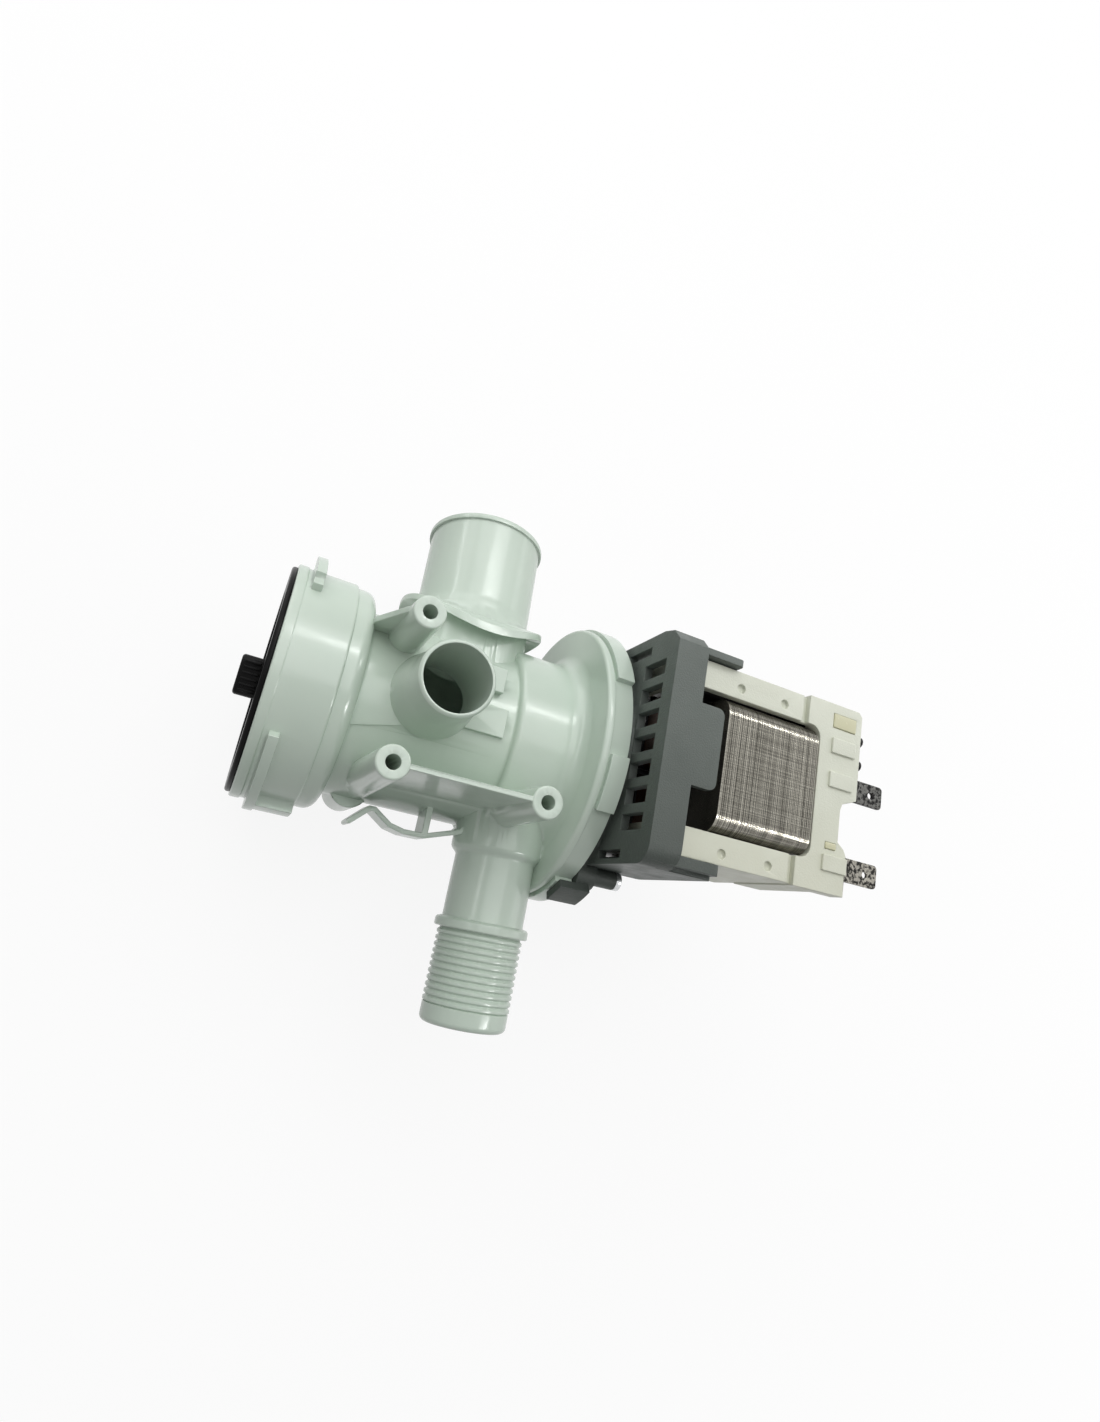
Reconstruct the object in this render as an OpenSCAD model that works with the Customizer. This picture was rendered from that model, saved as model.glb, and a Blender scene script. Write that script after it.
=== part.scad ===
/* [Filter collar] */
// Outer radius of the filter collar
collar_r = 30; // [29:0.1:32]
// Length of the collar, front face to its rear edge
collar_l = 15.3; // [14.5:0.1:18]
// Width of the raised band round the collar's mouth
band_w = 2.4; // [1.5:0.1:3]
// How far the band stands out of the collar
band_h = 0.3; // [0.2:0.1:0.6]
// Radius of the stepped ring behind the collar
step_ring_r = 29.2; // [28:0.1:29.8]
// Length of the stepped ring
step_ring_l = 5; // [4.5:0.1:7]
// Radius of the bore that takes the filter cap
collar_bore_r = 26.6; // [26:0.1:27.2]
// Distance from the front face to the locking lugs
lug_x = 3.8; // [3:0.1:5]
// Thickness of a locking lug along the axis
lug_w = 2.4; // [1.5:0.1:3]
// Height of the lower locking lug above the collar
lug_h = 2.6; // [1.5:0.1:4]
// Height of the upper locking lug above the collar
upper_lug_h = 3.7; // [2:0.1:5]

/* [Strainer chamber] */
// Outer radius of the strainer chamber
chamber_r = 24.4; // [23.6:0.1:25]
// Wall of the strainer chamber
chamber_wall = 2.1; // [1.5:0.1:2.6]
// Distance from the front face to the volute drum
drum_x = 61; // [60:0.1:64]

/* [Volute] */
// Outer radius of the drum round the impeller
drum_r = 26.9; // [26:0.1:28]
// Wall of the drum
drum_wall = 2.4; // [1.8:0.1:3]
// Radius of the eye between strainer and impeller
eye_r = 9.5; // [7:0.1:12]
// Distance from the front face to the front of the volute flange
flange_x = 78.3; // [77:0.1:80]
// Radius of the volute flange
flange_r = 38.8; // [38.4:0.1:40]
// Length of the flange and its skirt along the axis
skirt_l = 7.5; // [7:0.1:9]
// Radius over the raised blocks of the skirt
block_r = 39.6; // [39.2:0.1:40.4]
// Radius of the pocket for the rotor housing's flange
pocket_r = 33.6; // [32.5:0.1:33.8]
// Thickness of the flange's front wall
flange_t = 2.3; // [1.8:0.1:2.6]

/* [Inlet spigot] */
// Distance from the front face to the inlet's axis
inlet_x = 49.2; // [48:0.1:50]
// Height of the inlet's axis above the pump's axis, at its root
inlet_z = 3.1; // [1:0.1:5]
// Outer radius of the inlet spigot
inlet_r = 16.1; // [15:0.1:16.6]
// Wall of the inlet spigot
inlet_wall = 2; // [1.5:0.1:2.5]
// Length of the inlet spigot from the pump's axis
inlet_l = 59; // [52:0.5:70]
// Backward lean of the inlet spigot, in degrees
inlet_lean = 6.2; // [0:0.1:8]
// Length of the straight land that takes the hose, bead included
inlet_land_l = 25; // [20:0.5:30]
// Height of the bead at the inlet's mouth
inlet_bead_l = 1.7; // [1:0.1:3]
// How far the bead stands out of the inlet spigot
inlet_bead_h = 0.7; // [0.4:0.1:1.5]
// Radius of the saddle plate round the inlet's root
saddle_r = 20.7; // [19:0.1:21.5]
// Radius from the pump's axis to the top of the saddle plate
saddle_top = 33.3; // [31:0.1:35]
// Thickness of the saddle plate
saddle_t = 1.7; // [1.2:0.1:2.5]

/* [Side spigot] */
// Distance from the front face to the side spigot's axis
side_x = 37.9; // [36:0.1:39]
// Offset of the side spigot's axis towards the inlet
side_y = 1.8; // [0:0.1:3]
// Outer radius of the side spigot at its mouth
side_r = 9.05; // [8.5:0.05:10]
// Radius of the side spigot at its root
side_root_r = 10.8; // [10.1:0.1:11.5]
// Radius of the side spigot's bore
side_bore_r = 8; // [7:0.05:8.3]
// Length of the straight land at the side spigot's mouth
side_land_l = 8; // [6:0.5:10]
// Height of the side spigot's mouth above the pump's axis
side_top = 44; // [40:0.5:50]

/* [Outlet spigot] */
// Distance from the front face to the outlet's axis
outlet_x = 68.8; // [68:0.1:69.5]
// Height of the outlet's axis above the pump's axis
outlet_z = 5.1; // [3:0.1:7]
// Outer radius of the plain stretch of the outlet spigot
outlet_r = 10.7; // [10:0.1:11]
// Radius of the outlet's bore
outlet_bore_r = 8.9; // [7.5:0.1:9.4]
// Distance from the pump's axis to the stop ring
stop_y = 48.2; // [46:0.1:54]
// Radius of the stop ring
stop_r = 12.3; // [11.8:0.1:13.5]
// Thickness of the stop ring
stop_t = 2.5; // [1.5:0.1:3.5]
// Radius over the hose ribs
rib_r = 11.25; // [11.1:0.05:11.6]
// Spacing of the hose ribs
rib_pitch = 1.65; // [1.5:0.05:1.8]
// Number of hose ribs
rib_count = 11; // [6:1:12]
// Length of the plain tip below the ribs
tip_l = 4.6; // [3:0.1:7]

/* [Mounting bosses] */
// Height of the bosses' faces above the pump's axis
boss_top = 42.6; // [40:0.1:46]
// Radius of a boss at its face
boss_r = 3.9; // [3.5:0.1:4.4]
// Radius of a boss at its root
boss_root_r = 4.7; // [4.4:0.1:5.2]
// Radius of the screw hole in a boss
boss_hole_r = 1.7; // [1.4:0.05:2]
// Depth of the screw hole in the upper boss
boss_hole_l = 18; // [12:0.5:20]
// How much deeper each next boss's screw hole is
boss_hole_step = 0.8; // [0.5:0.1:1.5]
// Distance from the front face to the first two bosses
boss_x = 28.6; // [28:0.1:29.5]
// Distance between the lower two bosses
boss_pitch = 36.5; // [35:0.1:37]
// Offset of the upper boss from the pump's axis
upper_boss_y = 15; // [14:0.1:16]
// Offset of the lower bosses from the pump's axis
lower_boss_y = 19.75; // [19:0.05:20.5]
// Thickness of the web between the lower bosses
web_t = 1.3; // [1:0.1:2]

/* [Snap arm] */
// Thickness of the snap arm under the strainer
arm_t = 1.3; // [1:0.1:1.8]
// Width of the snap arm
arm_w = 8; // [5:0.5:10]

/* [Filter cap] */
// Radius of the cap's front rim
cap_r = 29.3; // [28.5:0.1:29.8]
// Thickness of the cap's front rim
cap_rim_t = 1.3; // [1:0.1:2]
// Length of the cap's plug
plug_l = 13.5; // [12.5:0.1:14.4]
// Radius of the dish round the grip
dish_r = 23; // [21:0.1:23.6]
// Depth of the dish below the rim
dish_l = 10; // [8:0.1:10.6]
// Width of the grip bar
grip_w = 9.4; // [8:0.1:12]
// How far the grip bar stands out of the collar's front face
grip_out = 6; // [5:0.1:9]
// Turn of the grip bar away from upright, in degrees
grip_turn = 14.6; // [0:0.1:30]
// Radius of the strainer basket
basket_r = 21.4; // [20:0.1:21.8]
// Wall of the strainer basket
basket_wall = 1.6; // [1.2:0.1:2.2]
// Width of the slots in the basket
basket_slot = 2.6; // [1.5:0.1:3]
// Spacing of the slots in the basket
basket_pitch = 5.2; // [4.6:0.1:6]

/* [Rotor] */
// Radius of the rotor shaft
shaft_r = 2; // [1.5:0.05:2.5]
// Radius of the magnet
magnet_r = 11; // [10:0.1:11.3]
// Outer radius of the rotor can
can_r = 13; // [12.8:0.1:13.2]
// Wall of the rotor can
can_wall = 1; // [0.8:0.05:1.2]
// Radius over the impeller's blades
impeller_r = 20.5; // [17:0.1:21.5]
// Number of blades
blade_count = 4; // [3:1:8]
// Thickness of a blade
blade_t = 2.2; // [1.5:0.1:3]
// Width of the blades along the axis
blade_w = 12.5; // [9:0.1:13]
// Half angle of the drive dog and of the hub's stop, in degrees
dog_half = 22; // [15:1:26]

/* [Motor bracket] */
// Distance from the front face to the bracket's front plate
bracket_x = 87.4; // [87.2:0.1:89]
// Depth of the bracket's side walls along the axis
bracket_l = 8.9; // [7:0.1:9.5]
// Thickness of the bracket's plate and walls
bracket_t = 2.4; // [1.8:0.1:2.6]
// Reach of the bracket towards the outlet, across the pump's axis
bracket_y = 29; // [28.6:0.1:31]
// Reach of the bracket towards the inlet, across the pump's axis
bracket_up = 30; // [29:0.1:31]
// Height of the bracket's outer face above the pump's axis
bracket_top = 51.6; // [51.2:0.1:54]
// How far the bracket reaches behind the pump's axis
bracket_back = 30; // [27:0.1:32]
// Spacing of the vent slots
vent_pitch = 6.48; // [6:0.02:6.6]
// Width of a vent slot
vent_w = 4; // [3:0.1:4.6]
// Length of a vent slot
vent_l = 9.8; // [7:0.1:10.2]
// Width of the tongue over the steel stack
tongue_w = 20.6; // [16:0.1:22]
// Reach of the tongue past the bracket
tongue_l = 6.9; // [5:0.1:8]
// Reach of the two side arms past the bracket
arm_reach = 12.1; // [9:0.1:14]

/* [Motor] */
// Distance from the front face to the steel stack
stack_x = 106.5; // [106:0.1:108]
// Thickness of the steel stack along the axis
stack_l = 29.7; // [28:0.1:30]
// Half width of the steel core
core_y = 17.3; // [17:0.1:17.5]
// Height of the core's back face above the pump's axis
core_top = 48.7; // [48:0.1:49.2]
// Corner radius of the core's back
core_corner = 5; // [3:0.1:6]
// Half gap between the core's legs
leg_gap = 6; // [5.8:0.1:6.6]
// Depth of the core's yoke
yoke_h = 12.5; // [11:0.1:13]
// Half height of the coil frame
frame_y = 24.9; // [24.7:0.1:25.2]
// Height of the coil frame's face above the pump's axis
frame_top = 47.6; // [47:0.1:48]
// Distance from the front face to the terminal block
block_x = 132.1; // [131.8:0.1:132.6]
// Length of the terminal block along the axis
block_l = 18.5; // [18:0.1:20]
// Width of a spade terminal
tab_w = 6.3; // [4.8:0.1:6.3]
// Thickness of a spade terminal
tab_t = 0.8; // [0.5:0.1:1]
// Reach of a spade terminal past the terminal block
tab_out = 11.2; // [8:0.1:13]

/* [Hidden] */
$fn = 72;

// Clearance between pieces that only lie beside each other
gap = 0.3;
// Clearance round a piece that is set or cast in its seat
fit_gap = 0.05;
// Radial clearance of the shaft in its bearings
run_gap = 0.04;
// Overlap of a cut past the face that it opens
cut = 0.5;

// Collar and chamber
chamber_x = collar_l + step_ring_l;
chamber_bore_r = chamber_r - chamber_wall;
step_round = 3;
collar_bore_l = plug_l + 2;
drum_bore_r = drum_r - drum_wall;
eye_wall = 2;
drum_fillet = 4;
flange_edge = 1;
rim_w = 2;
skirt_r = flange_r - 0.7;
skirt_end = flange_x + skirt_l;
pocket_x = flange_x + flange_t;
block_spans = [[26, 80], [-26, -5], [-100, -61], [120, 170], [194, 230]];
inlet_bore_r = inlet_r - inlet_wall;
inlet_root_r = inlet_r + 0.4;
inlet_taper_l = 3;
inlet_bore_from = 6;
bosses = [[boss_x, upper_boss_y], [boss_x, -lower_boss_y], [boss_x + boss_pitch, -lower_boss_y]];
rib_start = stop_y + stop_t + 0.4;
rib_end = rib_start + rib_count * rib_pitch;
outlet_end = rib_end + tip_l;
pad_h = 1;
outlet_root_l = 29.4;
outlet_root_round = 2;

// Volute, housing and bracket along the axis
housing_x = pocket_x + 0.05;
housing_flange_r = pocket_r - 0.3;
housing_end = skirt_end - 0.1;
seal_r = 1.1;
can_bore_r = can_r - can_wall;
can_end = stack_x + stack_l + 0.8;
bearing_l = 8;
bearing_r = 4.6;
plate_x = housing_end - 0.8;
plate_t = 6;
cup_r = 6.4;
cup_l = 6.4;
cup_wall = 1.8;
rear_x = can_end + 0.4;
rear_cap_r = cup_r + cup_wall + 0.2;
rear_end = rear_x + cup_l + cup_wall + 0.6;
magnet_x = stack_x + 1.2;
magnet_l = stack_l - 2.2;
hub_r = 5;
washer_t = 0.8;
front_bearing_end = plate_x + bearing_l;
hub_x = front_bearing_end + washer_t + 0.4;
hub_end = can_end - washer_t - 0.2;
back_disc_t = 1.6;
impeller_x = pocket_x - back_disc_t - blade_w - 0.6;
impeller_end = impeller_x + blade_w + back_disc_t;
impeller_hub_r = 8.6;
hub_wall = 1.6;
dog_x = impeller_x + 2.6;
dog_l = blade_w - 4;
dog_r = impeller_hub_r - hub_wall - 0.3;
damper_deg = 7;

// Bracket
screw_r = 1.3;
screw_gap = 0.03;
screw_angle = -60.9;
screw_at = (pocket_r + skirt_r) / 2 * [sin(screw_angle), cos(screw_angle)];
screw_end = 98.2;
hook_angles = [-64, 108, 194];
hook_half = 5.5;
hook_t = 2.2;
hook_x = flange_x + 3;
vent_top = 46.6;
lower_arm_t = 2.7;
upper_arm_t = 1.9;
stack_end = stack_x + stack_l;

// Motor
leg_end = -13;
core_gap = 0.2;
bobbin_wall = 1.2;
bobbin_z = 16;
bobbin_l = core_top - yoke_h - bobbin_z - core_gap;
winding_t = 3.6;
frame_x = 92.6;
frame_back = 14;
frame_wall = 2;
window_y = 17.6;
window_end = stack_end + 0.3;
window_round = 3.2;
face_t = 2.6;
block_end = block_x + block_l;
block_face = frame_top + 0.4;
block_t = 4.4;
block_back = frame_back + 10;
block_foot = 9.4;
block_rim = 0.6;
block_notch = 5.2;
block_notch_y = [-14.6, -13, -11.4, -3, -1.2, 0.6];
block_step = [2.1, 3, 4.6];
rib_from_end = 10.2;
resin_deep = 0.6;
resin_l = [7.8, 3.6];
resin_w = [4, 1.8];
resin_y = [18.8, -13.9];
resin_x = [block_end - 10, block_end - 9.4];
tab_y = [4.1, -17.55];
tab_z = 45.3;
pin_y = [15.8, 8.9];
plug_y = [20.8, 13.8, 4.5, -17.5];
tab_root = 7.8;
pin_root = 3.8;
pin_r = 0.8;
pin_out = 0.9;

// Cylinder along the pump's axis
module x_cyl(x0, x1, r) translate([x0, 0, 0]) rotate([0, 90, 0]) cylinder(h = x1 - x0, r = r);

// Ring along the pump's axis
module x_ring(x0, x1, r1, r2) {
    difference() {
        x_cyl(x0, x1, r2);
        x_cyl(x0 - cut, x1 + cut, r1);
    }
}

// Solid turned about the pump's axis from points [radius, distance]
module x_turn(points) rotate([0, 90, 0]) rotate_extrude() polygon(points);

// Part of a ring, between angles counted from the boss side towards the inlet
module x_sector(r1, r2, a1, a2, x0, x1) {
    rotate([0, 90, 0])
        rotate([0, 0, 180 - a2])
            rotate_extrude(angle = a2 - a1)
                translate([r1, x0])
                    square([r2 - r1, x1 - x0]);
}

// Plate across the pump's axis, drawn in [y, z]
module x_plate(x0, t) translate([x0, 0, 0]) rotate([90, 0, 90]) linear_extrude(t) children();

// Web along the pump's axis, drawn in [x, z] and centred on y
module y_web(y, t) translate([0, y + t / 2, 0]) rotate([90, 0, 0]) linear_extrude(t) children();

// Rectangle with round corners between two opposite corners
module round_box(p, q, r) {
    translate([p.x + r, p.y]) square([q.x - p.x - 2 * r, q.y - p.y]);
    translate([p.x, p.y + r]) square([q.x - p.x, q.y - p.y - 2 * r]);
    for (x = [p.x + r, q.x - r], y = [p.y + r, q.y - r]) translate([x, y]) circle(r = r);
}

// Points of an arc
function arc(c, r, a1, a2, n = 6) = [for (i = [0:n]) c + r * [cos(a1 + (a2 - a1) * i / n), sin(a1 + (a2 - a1) * i / n)]];

// Inlet spigot's own frame: its axis is the local Z axis, from the pump's axis outwards
module on_inlet() translate([inlet_x, 0, inlet_z]) rotate([-90 - inlet_lean, 0, 0]) children();

// Outlet spigot's own frame, pointing away from the pump's axis
module on_outlet() translate([outlet_x, 0, outlet_z]) rotate([90, 0, 0]) children();

// Collar, stepped ring, chamber, drum and flange as one turned outline
module body_outline() {
    x_turn(concat(
        [[0, 0], [collar_r + band_h - 0.5, 0]],
        arc([collar_r + band_h - 0.5, 0.5], 0.5, -90, 0, 3),
        [[collar_r + band_h, band_w], [collar_r, band_w + band_h]],
        arc([collar_r - 0.8, collar_l - 0.8], 0.8, 0, 90, 4),
        [[step_ring_r, collar_l]],
        arc([step_ring_r - step_round, chamber_x - step_round], step_round, 0, 90),
        arc([chamber_r + 0.8, chamber_x + 0.8], 0.8, 270, 180, 4),
        arc([chamber_r + 0.6, drum_x - 1.6], 0.6, 180, 90, 4),
        arc([drum_r - 1.4, drum_x + 0.4], 1.4, -90, 0),
        arc([drum_r + drum_fillet, flange_x - drum_fillet], drum_fillet, 180, 90),
        arc([flange_r - flange_edge, flange_x + flange_edge], flange_edge, -90, 0, 4),
        [[flange_r, flange_x + rim_w], [skirt_r, flange_x + rim_w + 0.3], [skirt_r, skirt_end], [0, skirt_end]]
    ));
}

// Lugs that lock the collar in the washing machine's front panel
module collar_lugs() {
    x_sector(collar_r - 1, collar_r + lug_h, -95, -34, lug_x, lug_x + lug_w);
    x_sector(collar_r - 1, collar_r + lug_h - 0.4, -94, -80, lug_x + 0.5, collar_l - 0.4);
    x_sector(collar_r - 1, collar_r + upper_lug_h, 42, 74, lug_x, lug_x + lug_w);
    x_sector(collar_r - 1, collar_r + upper_lug_h - 1.6, 37, 45, lug_x, lug_x + lug_w);
}

// Inlet spigot with its bead and its saddle plate
module inlet_solid() {
    on_inlet() {
        translate([0, 0, 5]) cylinder(h = inlet_l - inlet_land_l - inlet_taper_l - 5, r = inlet_root_r);
        translate([0, 0, inlet_l - inlet_land_l - inlet_taper_l]) cylinder(h = inlet_taper_l, r1 = inlet_root_r, r2 = inlet_r);
        translate([0, 0, inlet_l - inlet_land_l]) cylinder(h = inlet_land_l - 1, r = inlet_r);
        translate([0, 0, inlet_l - inlet_bead_l]) cylinder(h = inlet_bead_l - 0.4, r = inlet_r + inlet_bead_h);
        translate([0, 0, inlet_l - 0.4]) cylinder(h = 0.4, r1 = inlet_r + inlet_bead_h, r2 = inlet_r + inlet_bead_h - 0.4);
    }
    intersection() {
        x_ring(chamber_x, flange_x, saddle_top - saddle_t, saddle_top);
        on_inlet() translate([0, 0, 10]) cylinder(h = inlet_l - 20, r = saddle_r);
    }
}

// Side spigot with its tapered root
module side_solid() {
    translate([side_x, side_y, 8]) cylinder(h = chamber_r - 8, r = side_root_r);
    translate([side_x, side_y, chamber_r])
        cylinder(h = side_top - side_land_l - chamber_r, r1 = side_root_r, r2 = side_r);
    translate([side_x, side_y, side_top - side_land_l]) cylinder(h = side_land_l - 0.6, r = side_r);
    translate([side_x, side_y, side_top - 0.6]) cylinder(h = 0.6, r1 = side_r, r2 = side_r - 0.5);
}

// Outlet spigot with its stop ring and hose ribs
module outlet_solid() {
    root_r = outlet_r + 1.6;
    on_outlet() rotate_extrude() polygon(concat(
        [[0, 8], [root_r, 8]],
        arc([root_r - outlet_root_round, outlet_root_l], outlet_root_round, 0, 60, 4),
        [[outlet_r, outlet_root_l + outlet_root_round + 0.5], [outlet_r, stop_y - 0.3]],
        [[stop_r - 0.5, stop_y], [stop_r, stop_y + 0.5], [stop_r, stop_y + stop_t - 0.3]],
        [[stop_r - 0.3, stop_y + stop_t], [outlet_r, stop_y + stop_t]],
        [for (i = [0:rib_count - 1], p = [[0, 0.05], [1, 0.3], [1, 0.7], [0, 0.95]])
            [outlet_r + p.x * (rib_r - outlet_r), rib_start + (i + p.y) * rib_pitch]],
        [[rib_r - 0.15, rib_end]],
        arc([rib_r - 1.65, outlet_end - 1.5], 1.5, 0, 90),
        [[0, outlet_end]]
    ));
}

// Screw boss from the chamber up to its face
module boss_solid(p) {
    translate([p.x, p.y, 4]) cylinder(h = boss_top - 0.3 - 4, r1 = boss_root_r, r2 = boss_r);
    translate([p.x, p.y, boss_top - 0.3]) cylinder(h = 0.3, r1 = boss_r, r2 = boss_r - 0.3);
}

// Web between the lower bosses, gusset of the upper boss and the flat pads beside the side spigot
module webs_solid() {
    y_web(-lower_boss_y, web_t)
        polygon([[boss_x, 8], [boss_x + boss_pitch, 8], [boss_x + boss_pitch, boss_top - 0.3], [boss_x, boss_top - 0.3]]);
    y_web(upper_boss_y + 0.6, 1.6)
        polygon([[chamber_x - 1, 14], [boss_x, 14], [boss_x, boss_top - 2], [boss_x - boss_r, boss_top - 3.5], [chamber_x - 0.6, 25]]);
    translate([side_x + 2, -4, 8]) cube([17.3, 7.4, chamber_r + pad_h - 8]);
    translate([side_x + 8, 7.2, 8]) cube([8.9, 6.3, chamber_r + pad_h - 7.8]);
    translate([chamber_x + 7.1, -chamber_r + 2.5, -12]) cylinder(h = 14, r = 5);
}

// Springy arm that snaps into the machine's base, with the post that carries it
module snap_arm() {
    path = [[28.2, -30.6], [32.4, -26.4], [33.6, -26.4], [38.2, -29.4], [42, -30.2], [47.4, -30.1], [56.5, -27], [58.5, -24.5]];
    translate([0, 0, 1]) linear_extrude(arm_w) {
        for (i = [0:len(path) - 2]) {
            d = path[i + 1] - path[i];
            translate(path[i]) rotate(atan2(d.y, d.x)) translate([0, -arm_t / 2]) square([norm(d), arm_t]);
            translate(path[i]) circle(r = arm_t / 2, $fn = 24);
        }
        translate([46.6, -30]) square([1.6, 8]);
    }
}

// Hollows of the moulding: cap bore, chamber, eye, drum, pocket, spigot bores and screw holes
module body_cuts() {
    x_cyl(-cut, collar_bore_l, collar_bore_r);
    x_cyl(collar_bore_l - cut, drum_x - eye_wall, chamber_bore_r);
    x_cyl(drum_x - eye_wall - cut, drum_x + cut, eye_r);
    x_cyl(drum_x, pocket_x + cut, drum_bore_r);
    x_cyl(pocket_x, skirt_end + cut, pocket_r);
    intersection() {
        on_inlet() translate([0, 0, inlet_bore_from]) cylinder(h = inlet_l - inlet_bore_from + cut, r = inlet_bore_r);
        union() {
            translate([0, 0, -saddle_r]) cube([drum_x - eye_wall, inlet_l + inlet_r, 2 * saddle_r]);
            translate([0, drum_r, -saddle_r]) cube([flange_x, inlet_l + inlet_r, 2 * saddle_r]);
        }
    }
    translate([side_x, side_y, 6]) cylinder(h = side_top - 6 + cut, r = side_bore_r);
    on_outlet() translate([0, 0, 6]) cylinder(h = outlet_end - 6 + cut, r = outlet_bore_r);
    for (i = [0:2]) {
        depth = boss_hole_l + i * boss_hole_step;
        translate([bosses[i].x, bosses[i].y, boss_top - depth]) cylinder(h = depth + cut, r = boss_hole_r);
    }
    translate([pocket_x, screw_at.x, screw_at.y]) rotate([0, 90, 0]) cylinder(h = skirt_l, r = screw_r + screw_gap);
}

module pump_body() color("#cfdcd3") {
    difference() {
        union() {
            body_outline();
            for (a = block_spans) x_sector(pocket_r + 1, block_r, a[0], a[1], flange_x + rim_w + 0.6, skirt_end);
            collar_lugs();
            inlet_solid();
            side_solid();
            outlet_solid();
            for (p = bosses) boss_solid(p);
            webs_solid();
            snap_arm();
        }
        body_cuts();
    }
}

module filter_cap() color("#18191a") {
    seal_x = plug_l - 3.6;
    difference() {
        union() {
            x_turn([[0, -cap_rim_t], [cap_r - 0.4, -cap_rim_t], [cap_r, -cap_rim_t + 0.4], [cap_r, -0.05], [0, -0.05]]);
            x_cyl(-0.2, plug_l, collar_bore_r - gap);
        }
        x_cyl(-cap_rim_t - cut, dish_l - cap_rim_t, dish_r);
        x_ring(seal_x - seal_r - 0.1, seal_x + seal_r + 0.1, collar_bore_r - 2 * seal_r - 0.1, collar_bore_r + 1);
    }
    rotate([grip_turn, 0, 0]) {
        x_plate(-grip_out, grip_out + dish_l) round_box([-grip_w / 2, -dish_r - 0.4], [grip_w / 2, dish_r + 0.4], 2);
        for (s = [-1, 1], i = [0:2])
            translate([-grip_out + 0.8, s * (grip_w / 2 - 1.4 - i * 1.3) - 0.3, -dish_r - 0.7]) cube([3.6, 0.6, 2 * dish_r + 1.4]);
    }
}

module cap_seal() color("#101010") {
    translate([plug_l - 3.6, 0, 0]) rotate([0, 90, 0]) rotate_extrude()
        translate([collar_bore_r - seal_r - 0.05, 0]) circle(r = seal_r, $fn = 32);
}

module filter_basket() color("#d7dbd7") {
    end_x = drum_x - eye_wall - 1.4;
    difference() {
        x_cyl(plug_l, end_x, basket_r);
        x_cyl(plug_l + basket_wall, end_x + cut, basket_r - basket_wall);
        translate([inlet_x - inlet_bore_r - 2, 3, -basket_r - 1]) cube([2 * inlet_bore_r, basket_r, 2 * basket_r + 2]);
        translate([side_x - side_bore_r - 1, side_y - side_bore_r, 3]) cube([2 * side_bore_r + 2, 2 * side_bore_r, basket_r]);
        for (x = [plug_l + 4:basket_pitch:end_x - basket_slot - 1.5], a = [-172, -82])
            x_sector(basket_r - basket_wall - 1, basket_r + 1, a, a + 74, x, x + basket_slot);
    }
}

module impeller() color("#e4e6e3") {
    difference() {
        union() {
            x_cyl(impeller_x + blade_w, impeller_end, impeller_r - 0.5);
            x_cyl(impeller_x, impeller_end, impeller_hub_r);
            for (i = [0:blade_count - 1]) rotate([i * 360 / blade_count, 0, 0])
                translate([impeller_x, -blade_t / 2, 0]) cube([blade_w + 0.2, blade_t, impeller_r]);
        }
        x_cyl(dog_x - gap, dog_x + dog_l + gap, impeller_hub_r - hub_wall);
        x_cyl(impeller_x + 1, impeller_end + cut, shaft_r + run_gap);
    }
    x_sector(shaft_r + 0.3, impeller_hub_r - hub_wall + 0.2, 180 - dog_half, 180 + dog_half, dog_x - gap - 0.2, dog_x + dog_l + gap + 0.2);
}

module shock_damper() color("#1c1c1c") {
    for (a = [180 - dog_half - damper_deg, 180 + dog_half])
        x_sector(shaft_r + 0.5, impeller_hub_r - hub_wall - 0.1, a, a + damper_deg, dog_x, dog_x + dog_l);
}

module drive_dog() color("#3a3d3d") {
    difference() {
        union() {
            x_sector(shaft_r - 0.5, dog_r, -dog_half, dog_half, dog_x, dog_x + dog_l);
            x_cyl(dog_x, dog_x + dog_l, shaft_r + 0.2);
        }
        x_cyl(dog_x - cut, dog_x + dog_l + cut, shaft_r);
    }
}

module rotor_shaft() color("#c9ccce") {
    x_cyl(impeller_x + 1.4, rear_x + cup_l - 0.6, shaft_r);
}

module rotor_hub() color("#33383a") x_ring(hub_x, hub_end, shaft_r, hub_r);

module rotor_magnet() color("#4a4b4e") x_ring(magnet_x, magnet_x + magnet_l, hub_r, magnet_r);

module front_thrust_washer() color("#e9e7e0") {
    x_ring(front_bearing_end + 0.2, front_bearing_end + 0.2 + washer_t, shaft_r + run_gap, hub_r);
}

module rear_thrust_washer() color("#e9e7e0") {
    x_ring(hub_end + 0.1, hub_end + 0.1 + washer_t, shaft_r + run_gap, hub_r);
}

module front_bearing() color("#2e2f31") x_ring(plate_x, front_bearing_end, shaft_r + run_gap, bearing_r);

module rear_bearing() color("#2e2f31") x_ring(rear_x, rear_x + cup_l - 1.2, shaft_r + run_gap, bearing_r);

module bearing_plate() color("#2a2d2f") x_ring(plate_x, plate_x + plate_t, bearing_r, can_bore_r);

module rear_bearing_cup() color("#202224") {
    difference() {
        x_cyl(rear_x, rear_x + cup_l + cup_wall, cup_r);
        x_cyl(rear_x - cut, rear_x + cup_l, bearing_r);
    }
}

module rotor_housing() color("#5c676a") {
    groove_x = (housing_x + housing_end) / 2;
    difference() {
        union() {
            x_cyl(housing_x, housing_end, housing_flange_r);
            x_cyl(housing_x, can_end + 1, can_r);
            x_cyl(can_end, rear_end, rear_cap_r);
        }
        x_cyl(plate_x, can_end, can_bore_r);
        x_cyl(housing_x - cut, plate_x + cut, bearing_r + 0.4);
        x_cyl(can_end - cut, rear_x + cup_l + cup_wall, cup_r);
        x_ring(groove_x - seal_r - 0.1, groove_x + seal_r + 0.1, pocket_r - 2 * seal_r - 0.1, pocket_r + 1);
    }
}

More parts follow.
